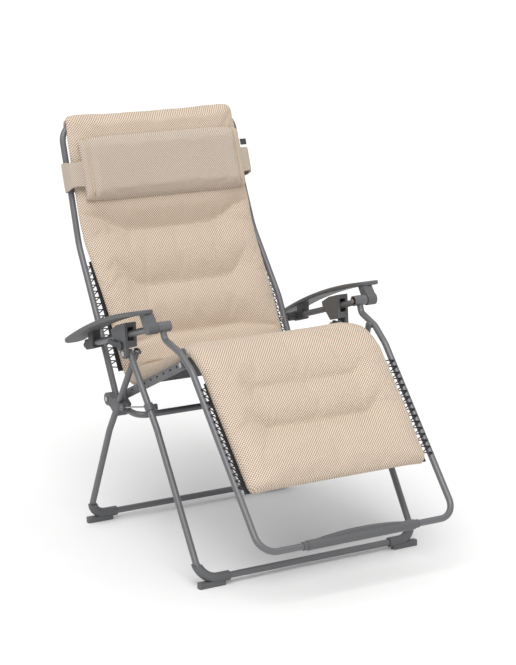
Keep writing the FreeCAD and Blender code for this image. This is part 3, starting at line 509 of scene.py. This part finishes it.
R_KNEE = float(RUN[np.argmin(np.abs(upper[:, 0] - KNEE_CUT) + (upper[:, 1] < 0.45))])
R_SEAT = float(RUN[np.argmin(np.abs(upper[:, 0] - 0.36))])
WIDTH_PLACES = [0, run_at("back", 0.97), run_at("back", 0.76), run_at("back", 0.60), run_at("back", 0.48),
                R_SEAT, R_KNEE, run_at("leg", 0.45), RUN[-1]]
HALF_WIDTH = np.interp(RUN, WIDTH_PLACES, [0.240, 0.250, 0.254, 0.246, 0.244, 0.242, 0.252, 0.254, 0.250])
for distance in (RUN[-1] - RUN, np.abs(RUN - run_at("back", 1.021)) + 0.004):
    corner = np.clip(1 - distance / 0.024, 0, 1)
    HALF_WIDTH = HALF_WIDTH - 0.018 * (1 - np.sqrt(1 - corner ** 2))
CHANNELS = [
    ("back", [(0, 0.735, 1), (0.125, 0.738, 1), (0.165, 0.752, 0.85),
              (0.200, 0.772, 0.7), (0.236, 0.780, 0.4)]),
    ("back", [(0, 0.606, 1), (0.118, 0.607, 1), (0.142, 0.613, 0.8),
              (0.172, 0.640, 0.45), (0.200, 0.668, 0.1)]),
    ("back", [(0, 0.490, 0.9), (0.112, 0.493, 0.9), (0.140, 0.487, 0.65),
              (0.180, 0.478, 0.35), (0.215, 0.474, 0.1)]),
    ("leg", [(0, 0.4630, 0.8), (0.138, 0.4645, 0.8), (0.162, 0.476, 0.5), (0.180, 0.492, 0.1)]),
    ("leg", [(0, 0.3830, 1), (0.140, 0.3845, 1), (0.166, 0.398, 0.6), (0.186, 0.416, 0.15)]),
]


def channel_run(part, corners):
    """One channel from side to side as points (across, along the sling, strength)."""
    right = [(x, run_at(part, z), s) for x, z, s in corners]
    return [(-x, r, s) for x, r, s in right[:0:-1]] + right


SEWN = [channel_run(part, corners) for part, corners in CHANNELS]
print("channels at", [round(c[len(c) // 2][1], 3) for c in SEWN], "knee at", round(R_KNEE, 3))

# %% [markdown]
# The padded form is a grid of points: rows along the sling, columns across it. Height above the
# lower face follows three rules. It rounds off at every edge, dips sharply at a channel with a
# wide soft hollow round it, and bulges in the open panels. The cloth is closed: the upper and
# lower sheets share their border, where the real cover has its side seam.

# %% Heights of the quilted sheet
COLUMNS = 76


def across_grid(half_width):
    t = np.linspace(-1, 1, COLUMNS + 1)
    return half_width[:, None] * (t * (1.14 - 0.14 * t ** 2))[None, :]


def near_channel(x, r, line):
    """Distance to a channel's nearest point, and the stitching's strength there."""
    best = np.full(x.shape, 9.0)
    strength = np.zeros(x.shape)
    for (x0, r0, s0), (x1, r1, s1) in zip(line[:-1], line[1:]):
        length = (x1 - x0) ** 2 + (r1 - r0) ** 2
        t = np.clip(((x - x0) * (x1 - x0) + (r - r0) * (r1 - r0)) / length, 0, 1)
        far = np.hypot(x - x0 - t * (x1 - x0), r - r0 - t * (r1 - r0))
        closer = far < best
        best = np.where(closer, far, best)
        strength = np.where(closer, s0 + t * (s1 - s0), strength)
    return best, strength


def rounding(distance, radius, start):
    t = 1 - np.clip(distance / radius, 0, 1)
    return start + (1 - start) * np.sqrt(1 - t ** 2)


X = across_grid(HALF_WIDTH)
R = np.repeat(RUN[:, None], COLUMNS + 1, 1)
to_side = HALF_WIDTH[:, None] - np.abs(X)
SIDE_SHARE = np.interp(RUN, [0, R_SEAT - 0.18, R_SEAT - 0.05, R_KNEE - 0.04, R_KNEE + 0.08, RUN[-1]],
                       [0.16, 0.16, 0.30, 0.40, 0.40, 0.40])[:, None]
SIDE_ROUND = np.interp(RUN, [0, R_SEAT - 0.18, R_SEAT - 0.05, R_KNEE - 0.05, R_KNEE + 0.06, RUN[-1]],
                       [0.030, 0.034, 0.040, 0.040, 0.034, 0.032])[:, None]
side = rounding(to_side, SIDE_ROUND, SIDE_SHARE)
foot_end = rounding(RUN[-1] - R, 0.017, 0.46)
head_end = rounding(R, 0.009, 0.5)
rise = side * np.minimum(foot_end, head_end)
crease = np.zeros(X.shape)
hollow = np.zeros(X.shape)
for line in SEWN:
    distance, strength = near_channel(X, R, line)
    crease = np.maximum(crease, strength * np.exp(-distance / 0.009))
    hollow = np.maximum(hollow, strength * np.exp(-(distance / 0.042) ** 2))
BULGE_PLACES = [0, 0.06, run_at("back", 0.99), run_at("back", 0.80), run_at("back", 0.68), R_SEAT, RUN[-1]]
bulge = np.interp(RUN, BULGE_PLACES, [0, 0, 0.002, 0.006, 0.009, 0.003, 0.009])[:, None]
bulge = bulge * (1 - hollow) * np.clip(to_side / 0.05, 0, 1)
tall = thick[:, None] * rise * (1 - 0.42 * crease - 0.22 * hollow) + bulge
print("heights", round(float(tall.min()), 4), "to", round(float(tall.max()), 4))

# %% [markdown]
# Cloth is sewn over wadding, so between the seams it is under a light pressure and puckers
# against the stitches. Blender's cloth can do that: the upper sheet is pinned at its border and
# along the channels, grown by a percent and a half, and blown up for twenty frames. How far a
# point may move is capped, so the form stays the designed one.

# %% Sheets of points
def lifted(height):
    """Points of a sheet at these heights over the sling's lower face."""
    share = height / thick[:, None]
    y = lower[:, None, 0] + (upper - lower)[:, None, 0] * share
    z = lower[:, None, 1] + (upper - lower)[:, None, 1] * share
    knee_lift = 0.009 * np.clip((np.abs(X) - 0.11) / 0.13, 0, 1) ** 2 * np.exp(-((R - R_KNEE) / 0.06) ** 2)
    return np.stack([X, y + BAR_Y, z + knee_lift], 2)


def grid_faces(rows, columns, offset=0, flipped=False):
    index = np.arange((rows + 1) * (columns + 1)).reshape(rows + 1, columns + 1) + offset
    quads = np.stack([index[:-1, :-1], index[:-1, 1:], index[1:, 1:], index[1:, :-1]], 2).reshape(-1, 4)
    return quads[:, ::-1] if flipped else quads


def mesh_object(name, points, faces):
    data = bpy.data.meshes.new(name)
    data.from_pydata([tuple(p) for p in points], [], [tuple(int(v) for v in f) for f in faces])
    data.update()
    made = bpy.data.objects.new(name, data)
    bpy.context.scene.collection.objects.link(made)
    return made


def puffed(name, sheet, hold, pressure, cap, growth, frames=20):
    """The sheet after a short cloth simulation, as the same grid of points."""
    rows, columns = sheet.shape[0] - 1, sheet.shape[1] - 1
    cloth = mesh_object(name, sheet.reshape(-1, 3), grid_faces(rows, columns, flipped=True))
    group = cloth.vertex_groups.new(name="sewn")
    flat = hold.reshape(-1)
    for i in np.where(flat > 0.02)[0]:
        group.add([int(i)], float(flat[i]), "REPLACE")
    modifier = cloth.modifiers.new("cloth", "CLOTH")
    settings = modifier.settings
    settings.vertex_group_mass = "sewn"
    settings.quality = 5
    settings.mass = 0.25
    settings.tension_stiffness = settings.compression_stiffness = 12
    settings.shear_stiffness = 6
    settings.bending_stiffness = 0.6
    settings.air_damping = 4
    settings.use_pressure = True
    settings.uniform_pressure_force = pressure
    settings.shrink_min = -growth
    settings.effector_weights.gravity = 0
    modifier.collision_settings.use_collision = False
    modifier.point_cache.frame_end = frames + 2
    for number in range(1, frames + 1):
        bpy.context.scene.frame_set(number)
    solved = cloth.evaluated_get(bpy.context.evaluated_depsgraph_get()).to_mesh()
    points = np.zeros(len(solved.vertices) * 3)
    solved.vertices.foreach_get("co", points)
    move = points.reshape(sheet.shape) - sheet
    length = np.linalg.norm(move, axis=2, keepdims=True)
    move *= np.minimum(1, cap / np.maximum(length, 1e-9))
    bpy.data.objects.remove(cloth)
    bpy.context.scene.frame_set(1)
    print(name, "moved at most", round(float(np.linalg.norm(move, axis=2).max()), 4))
    return sheet + move


top_sheet = lifted(tall)
bottom_round = 1 - np.clip(np.minimum(to_side, np.minimum(RUN[-1] - R, R)) / 0.011, 0, 1)
bottom_sheet = lifted(np.minimum(tall, tall * (1 - np.sqrt(1 - bottom_round ** 2))))
border = np.zeros(X.shape, bool)
border[[0, -1], :] = True
border[:, [0, -1]] = True
bottom_sheet[border] = top_sheet[border]
held = np.clip(crease * 1.15 - 0.15, 0, 1)
held[border] = 1
held = np.maximum(held, np.exp(-to_side / 0.004))
top_sheet = puffed("sling_cloth", top_sheet, held, 4.0, 0.009, 0.015)
print("sheets", top_sheet.shape)

# %% [markdown]
# The two sheets become one closed skin, like a pillowcase turned through at its side seam. Every
# point keeps its place on the flat cloth as a coordinate in metres, so the knit is the same size
# at the knee as on the back. One subdivision makes the skin smooth.

# %% Closed skin
def closed_skin(name, top, bottom, across, along, dark):
    """Mesh of two sheets that share their border. dark tells which points of the lower one are lined."""
    inside = np.ones(across.shape, bool)
    inside[[0, -1], :] = False
    inside[:, [0, -1]] = False
    index = np.arange(across.size).reshape(across.shape)
    below = index.copy()
    below[inside] = across.size + np.arange(inside.sum())
    points = np.concatenate([top.reshape(-1, 3), bottom[inside]])

    def quads(grid):
        return np.stack([grid[:-1, :-1], grid[:-1, 1:], grid[1:, 1:], grid[1:, :-1]], 2).reshape(-1, 4)
    front, rear = quads(index)[:, ::-1], quads(below)
    made = mesh_object(name, points, np.concatenate([front, rear]))
    lined = np.stack([dark[:-1, :-1], dark[:-1, 1:], dark[1:, 1:], dark[1:, :-1]], 2).all(2).reshape(-1)
    kinds = np.concatenate([np.zeros(len(front), int), lined.astype(int)])
    made.data.polygons.foreach_set("material_index", kinds)
    flat = np.stack([across, along], 2)
    flat = np.concatenate([flat.reshape(-1, 2), flat[inside]])
    corners = np.zeros(len(made.data.loops), int)
    made.data.loops.foreach_get("vertex_index", corners)
    cloth = made.data.uv_layers.new(name="cloth")
    cloth.data.foreach_set("uv", flat[corners].reshape(-1))
    modifier = made.modifiers.new("smooth", "SUBSURF")
    modifier.levels = modifier.render_levels = 1
    smooth = bpy.data.meshes.new_from_object(made.evaluated_get(bpy.context.evaluated_depsgraph_get()))
    made.modifiers.clear()
    made.data = smooth
    made.data.shade_smooth()
    return made


lining = (np.abs(X) < HALF_WIDTH[:, None] - 0.012) & (R > 0.075) & (RUN[-1] - R > 0.02)
sling = closed_skin("sling", top_sheet, bottom_sheet, X, R, lining)
print("sling skin", len(sling.data.polygons), "faces")

# %% [markdown]
# Stitches lie along each channel. A helper finds any place on the upper sheet and the way the
# cloth faces there, and each stitch is a short, tapered tube of thread set into the crease.

# %% Stitches in the channels
def on_sling(x, r):
    """Place on the upper sheet at these cloth coordinates."""
    step = RUN[1]
    i = int(min(max(r / step, 0), ROWS - 1))
    share = r / step - i
    ends = [np.array([np.interp(x, X[k], top_sheet[k, :, axis]) for axis in range(3)]) for k in (i, i + 1)]
    return ends[0] * (1 - share) + ends[1] * share


def facing(x, r):
    side = on_sling(x + 0.004, r) - on_sling(x - 0.004, r)
    down = on_sling(x, r + 0.004) - on_sling(x, r - 0.004)
    normal = np.cross(down, side)
    return normal / np.linalg.norm(normal)


def tube_mesh(path, radii, sides=6):
    """Points and faces of a closed tube along a path, with its own radius at each point."""
    path = np.array(path, float)
    way = np.gradient(path, axis=0)
    way /= np.linalg.norm(way, axis=1, keepdims=True)
    up = np.array([0, 0, 1.0]) if abs(way[0][2]) < 0.9 else np.array([1.0, 0, 0])
    turn = np.arange(sides) * 2 * np.pi / sides
    points = []
    for place, forward, radius in zip(path, way, radii):
        one = np.cross(forward, up)
        one /= np.linalg.norm(one)
        two = np.cross(forward, one)
        points += [place + radius * (math.cos(a) * one + math.sin(a) * two) for a in turn]
    faces = []
    for ring in range(len(path) - 1):
        for k in range(sides):
            a, b = ring * sides + k, ring * sides + (k + 1) % sides
            faces.append([a, b, b + sides, a + sides])
    last = (len(path) - 1) * sides
    faces.append(list(range(sides))[::-1])
    faces.append([last + k for k in range(sides)])
    return points, faces


def stitches(line, gap=0.0082, length=0.0056):
    """Points, faces and cloth coordinates of one channel's stitches."""
    corners = np.array([(x, r) for x, r, s in line if s > 0.35])
    stops = np.concatenate([[0], np.cumsum(np.linalg.norm(np.diff(corners, axis=0), axis=1))])
    points, faces, flat = [], [], []
    for start in np.arange(0.002, stops[-1] - length, gap):
        path, spots = [], []
        for share in (0, 0.25, 0.75, 1):
            at = start + share * length
            x, r = np.interp(at, stops, corners[:, 0]), np.interp(at, stops, corners[:, 1])
            path.append(on_sling(x, r) + facing(x, r) * (0.0010 * math.sin(math.pi * share) - 0.0001))
            spots += [(x, r)] * 6
        made, quads = tube_mesh(path, (0.0002, 0.0006, 0.0006, 0.0002))
        faces += [[v + len(points) for v in f] for f in quads]
        points += made
        flat += spots
    return points, faces, flat


sewing = [stitches(line) for line in SEWN]
print("stitches", [len(s[1]) // 20 for s in sewing])

# %% [markdown]
# The chair folds at the hip and at the knee, so the skin is cut in the middle of the seat,
# where nothing bends, into a back piece and a leg piece.
# Both keep the whole skin's normals, so the cut doesn't show.

# %% Two pieces of one sling
def arrays(mesh):
    points = np.zeros(len(mesh.vertices) * 3)
    mesh.vertices.foreach_get("co", points)
    normals = np.zeros(len(mesh.vertices) * 3)
    mesh.vertex_normals.foreach_get("vector", normals)
    corners = np.zeros(len(mesh.loops), int)
    mesh.loops.foreach_get("vertex_index", corners)
    flat = np.zeros(len(mesh.loops) * 2)
    mesh.uv_layers["cloth"].data.foreach_get("uv", flat)
    material = np.zeros(len(mesh.polygons), int)
    mesh.polygons.foreach_get("material_index", material)
    flat = flat.reshape(-1, 4, 2)
    return points.reshape(-1, 3), normals.reshape(-1, 3), corners.reshape(-1, 4), flat, material


R_CUT = float(RUN[np.argmin(np.abs(upper[:, 0] - SEAT_CUT))])
points, normals, quads, flat, material = arrays(sling.data)
on_back = flat[:, :, 1].mean(1) < R_CUT


def sling_piece(name, keep, seams):
    used = np.unique(quads[keep])
    place = np.full(len(points), -1)
    place[used] = np.arange(len(used))
    all_points = [tuple(p) for p in points[used]]
    all_faces = [[int(v) for v in f] for f in place[quads[keep]]]
    all_flat = [tuple(c) for c in flat[keep].reshape(-1, 2)]
    kinds = list(material[keep])
    ways = [tuple(n) for n in normals[used]]
    for made, faces, spots in seams:
        start = len(all_points)
        all_points += [tuple(p) for p in made]
        ways += [(0.0, 0.0, 0.0)] * len(made)
        for face in faces:
            all_faces.append([v + start for v in face])
            all_flat += [spots[v] for v in face]
            kinds.append(2)
    data = bpy.data.meshes.new(name)
    data.from_pydata(all_points, [], all_faces)
    data.uv_layers.new(name="cloth").data.foreach_set("uv", np.array(all_flat).reshape(-1))
    data.polygons.foreach_set("material_index", kinds)
    data.update()
    data.shade_smooth()
    data.normals_split_custom_set_from_vertices(ways)
    for finish in (seat_fabric, under_fabric, thread):
        data.materials.append(finish)
    made = bpy.data.objects.new(name, data)
    bpy.context.scene.collection.objects.link(made)
    return made


back_pad = sling_piece("back_pad", on_back, sewing[:3])
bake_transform(back_pad)
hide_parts("back_cushion", "seat_cushion")
leg_pad = sling_piece("leg_pad", ~on_back, sewing[3:])
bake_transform(leg_pad)
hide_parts("leg_cushion")
bpy.data.objects.remove(sling)
print("sling pieces", len(back_pad.data.polygons), len(leg_pad.data.polygons))

# %% [markdown]
# A strip of black webbing is sewn under each side of the sling. The elastic hooks into it, so it
# is what one sees between the padding and the side tubes.

# %% Webbing strips for the lacing
def strip(name, line, inner, outer, front, body):
    """Flat webbing beside a tube. line holds the tube's side view, front the strip's distance before it."""
    line = smooth_line(line, 0.012)[::6]
    way = np.gradient(line, axis=0)
    way /= np.linalg.norm(way, axis=1, keepdims=True)
    away = np.stack([-way[:, 1], way[:, 0]], 1)
    rims = [(inner, front - 0.0011), (inner, front + 0.0011), (outer - 0.001, front + 0.0012),
            (outer, front + 0.0004), (outer, front - 0.0004), (outer - 0.001, front - 0.0012)]
    run_along = np.arange(len(line)) * 0.006
    for side, label in ((-1, "left"), (1, "right")):
        points, flat = [], []
        for i, place in enumerate(line):
            for x, out in rims:
                points.append((side * x, place[0] + away[i, 0] * out + BAR_Y, place[1] + away[i, 1] * out))
                flat.append((x, run_along[i]))
        faces = []
        for i in range(len(line) - 1):
            for k in range(6):
                a, b = i * 6 + k, i * 6 + (k + 1) % 6
                faces.append([a, b, b + 6, a + 6][::side])
        faces += [list(range(6))[::-side], [(len(line) - 1) * 6 + k for k in range(6)][::side]]
        made = mesh_object(label + "_" + name, points, faces)
        corners = [v for f in faces for v in f]
        uv = made.data.uv_layers.new(name="cloth")
        uv.data.foreach_set("uv", np.array([flat[v] for v in corners]).reshape(-1))
        made.data.materials.append(hem_webbing)
        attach(made, body)


strip("back_webbing", [(0.509, 0.409), (0.575, 0.535), (0.662, 0.664)], 0.226, 0.2505, 0.006, "back")
strip("leg_webbing", [(0.068, 0.477), (-0.122, 0.2525)], 0.236, 0.2555, 0.004, "leg_rest")
print("webbing strips ready")

# %% [markdown]
# The elastic zigzags between the webbing and the side tubes. It goes round the back of each tube,
# so from in front one sees only short dark crossings in the gap. Every turn is a few points across
# the tube, softened into one line, and the cord is a round tube along it.

# %% Elastic lacing
ROUND_TUBE = [(0.3, 0.0095, -0.0055), (0.5, -0.0015, -0.0112), (0.7, 0.0095, -0.0055)]  # share, inward, out


def lacing(node, side, line, halves, inner, lift, start, turns, body, pitch=0.017):
    """Zigzag from a webbing strip round the rear of a tube, whose side view and half widths are given."""
    line = np.array(line)
    stops = np.concatenate([[0], np.cumsum(np.linalg.norm(np.diff(line, axis=0), axis=1))])

    def spot(distance, inward, out):
        place = np.array([np.interp(distance, stops, line[:, k]) for k in (0, 1)])
        part = min(int(np.searchsorted(stops, distance, side="right")) - 1, len(line) - 2)
        way = (line[part + 1] - line[part]) / (stops[part + 1] - stops[part])
        x = np.interp(distance, stops, halves) - inward
        return (side * x, place[0] - way[1] * out + BAR_Y, place[1] + way[0] * out)
    corners = []
    for turn in range(turns):
        here = start + turn * pitch
        gap = float(np.interp(here, stops, halves)) - inner
        for share, inward, out in [(0, gap, lift)] + ROUND_TUBE:
            corners.append(spot(here + share * pitch, inward, out))
    path = smooth_line(corners, 0.0022)[::2]
    made, faces = tube_mesh(path, np.full(len(path), 0.0015), 8)
    cord = mesh_object(node, made, faces)
    cord.data.materials.append(elastic)
    cord.data.shade_smooth()
    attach(cord, body)
    return cord


BACK_LINE = [(0.479, 0.352), (0.575, 0.535), (0.690, 0.705)]
LEG_LINE = [(0.090, 0.503), (-0.216, 0.141)]
for side, label in ((-1, "left"), (1, "right")):
    cord = lacing(label + "_back_elastic", side, BACK_LINE, halves=[0.2695, 0.2695, 0.260], inner=0.249,
                  lift=0.006, start=0.075, turns=17, body="back")
    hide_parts(label + "_back_lacing")
    cord = lacing(label + "_leg_elastic", side, LEG_LINE, halves=[0.2743, 0.2738], inner=0.254,
                  lift=0.004, start=0.045, turns=16, body="leg_rest")
    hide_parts(label + "_leg_lacing")
print("elastic laced")

# %% [markdown]
# The head pillow is its own padded form in the same knit, a shade darker. It is crowned, softer
# at its ends, and its face puffs between the piped end seams. Flat straps of the same cloth go
# from its ends round the tubes and hold it on the back.

# %% Pillow
PILLOW_HALF, PILLOW_TALL, PILLOW_THICK = 0.236, 0.169, 0.036
PILLOW_LOW = np.array([0.7279, 0.7980])
UP = np.array([0.3084, 0.9513])
OUT = np.array([-0.9513, 0.3084])


def by_pillow(x, up, out):
    """Row-frame point from places across the pillow, up it, and out from the tubes' centre line."""
    y = PILLOW_LOW[0] + up * UP[0] + out * OUT[0] + BAR_Y
    z = PILLOW_LOW[1] + up * UP[1] + out * OUT[1]
    return np.stack(np.broadcast_arrays(x, y, z), -1)


def eased(count):
    t = np.linspace(-1, 1, count + 1)
    return np.sin(t * 1.35) / math.sin(1.35)


across, upward = np.meshgrid(eased(72) * PILLOW_HALF, (1 + eased(30)[::-1]) / 2 * PILLOW_TALL)
squeeze = 1 - 0.10 * (np.abs(across) / PILLOW_HALF) ** 6
upward = PILLOW_TALL / 2 + (upward - PILLOW_TALL / 2) * squeeze
to_rim = np.minimum(upward - upward.min(0), upward.max(0) - upward)
to_end = PILLOW_HALF - np.abs(across)
plump = rounding(to_rim, 0.030, 0.34) * rounding(to_end, 0.045, 0.36)
seam_dip = 0.16 * np.exp(-((to_end - 0.020) / 0.006) ** 2)
face_height = PILLOW_THICK * 0.93 * plump * (1 - seam_dip)
rear_height = face_height * (1 - np.sqrt(1 - (1 - np.clip(np.minimum(to_rim, to_end) / 0.012, 0, 1)) ** 2))
face_sheet = by_pillow(across, upward, 0.0358 + face_height)
rear_sheet = by_pillow(across, upward, 0.0358 + rear_height * 0.9)
rim = np.zeros(across.shape, bool)
rim[[0, -1], :] = True
rim[:, [0, -1]] = True
rear_sheet[rim] = face_sheet[rim]
pinned = np.maximum(rim.astype(float), np.exp(-((to_end - 0.020) / 0.005) ** 2))
face_sheet = puffed("pillow_cloth", face_sheet, pinned, 4.0, 0.003, 0.015)
pillow = closed_skin("pillow", face_sheet, rear_sheet, across, -upward, np.zeros(across.shape, bool))
pillow.data.materials.clear()
pillow.data.materials.append(pillow_fabric)
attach(pillow, "pillow")
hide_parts("head_pillow")
print("pillow", [round(v, 3) for v in pillow.dimensions])

# %% Piping at the pillow's ends
for side, label in ((-1, "left"), (1, "right")):
    x = side * (PILLOW_HALF - 0.018)
    column = int(np.argmin(np.abs(across[0] - x)))
    path = face_sheet[:, column] + np.array([0, -0.0008, 0.0002])
    made, faces = tube_mesh(path, np.full(len(path), 0.0019), 8)
    piping = mesh_object(label + "_pillow_piping", made, faces)
    spots = [(k % 8 * 0.0015, k // 8 * 0.0055) for k in range(len(made))]
    uv = piping.data.uv_layers.new(name="cloth")
    uv.data.foreach_set("uv", np.array([spots[v] for f in faces for v in f]).reshape(-1))
    piping.data.materials.append(thread)
    piping.data.shade_smooth()
    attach(piping, "pillow")
print("piping follows the pillow's face")

# %% Straps
STRAP_CORNERS = [(0.219, 0.0500), (0.236, 0.0480), (0.2560, 0.0445), (0.2660, 0.0360), (0.2668, 0.0150),
                 (0.2668, -0.0060), (0.2610, -0.0142), (0.2450, -0.0148), (0.2050, -0.0148)]  # across, out
STRAP_PATH = smooth_line(STRAP_CORNERS, 0.003)[::4]
STRAP_LOW, STRAP_HIGH, STRAP_THICK = 0.036, 0.114, 0.0034
for side, label in ((-1, "left"), (1, "right")):
    way = np.gradient(STRAP_PATH, axis=0)
    way /= np.linalg.norm(way, axis=1, keepdims=True)
    outward = np.stack([-way[:, 1], way[:, 0]], 1)
    levels = np.linspace(0, 1, 15)
    along = np.arange(len(STRAP_PATH)) * 0.004
    waist = 0.006 * np.sin(np.clip(along / 0.07, 0, 1) * np.pi)
    sheets = []
    for lift in (0.5, -0.5):
        grid = np.zeros((len(STRAP_PATH), 15, 3))
        for k, level in enumerate(levels):
            edge = 1 - abs(2 * level - 1) ** 8
            thick_here = STRAP_THICK * (0.25 + 0.75 * edge) * lift
            up = STRAP_LOW + waist + (STRAP_HIGH - STRAP_LOW - 2 * waist) * level
            spot = STRAP_PATH + outward * thick_here
            grid[:, k] = by_pillow(side * spot[:, 0], up, spot[:, 1])
        sheets.append(grid)
    sheets[1][[0, -1], :] = sheets[0][[0, -1], :]
    sheets[1][:, [0, -1]] = sheets[0][:, [0, -1]]
    flat_across, flat_along = np.meshgrid(levels * 0.08, along)
    unlined = np.zeros(flat_along.shape, bool)
    strap = closed_skin(label + "_strap", sheets[0], sheets[1], flat_across, flat_along, unlined)
    if side > 0:
        strap.data.flip_normals()
    strap.data.materials.clear()
    strap.data.materials.append(pillow_fabric)
    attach(strap, "pillow")
    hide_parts(label + "_pillow_strap")
tab = frame["nodes"]["strap_tab"]
tab.data.materials.clear()
tab.data.materials.append(moulded_dark)
print("straps and tab ready")
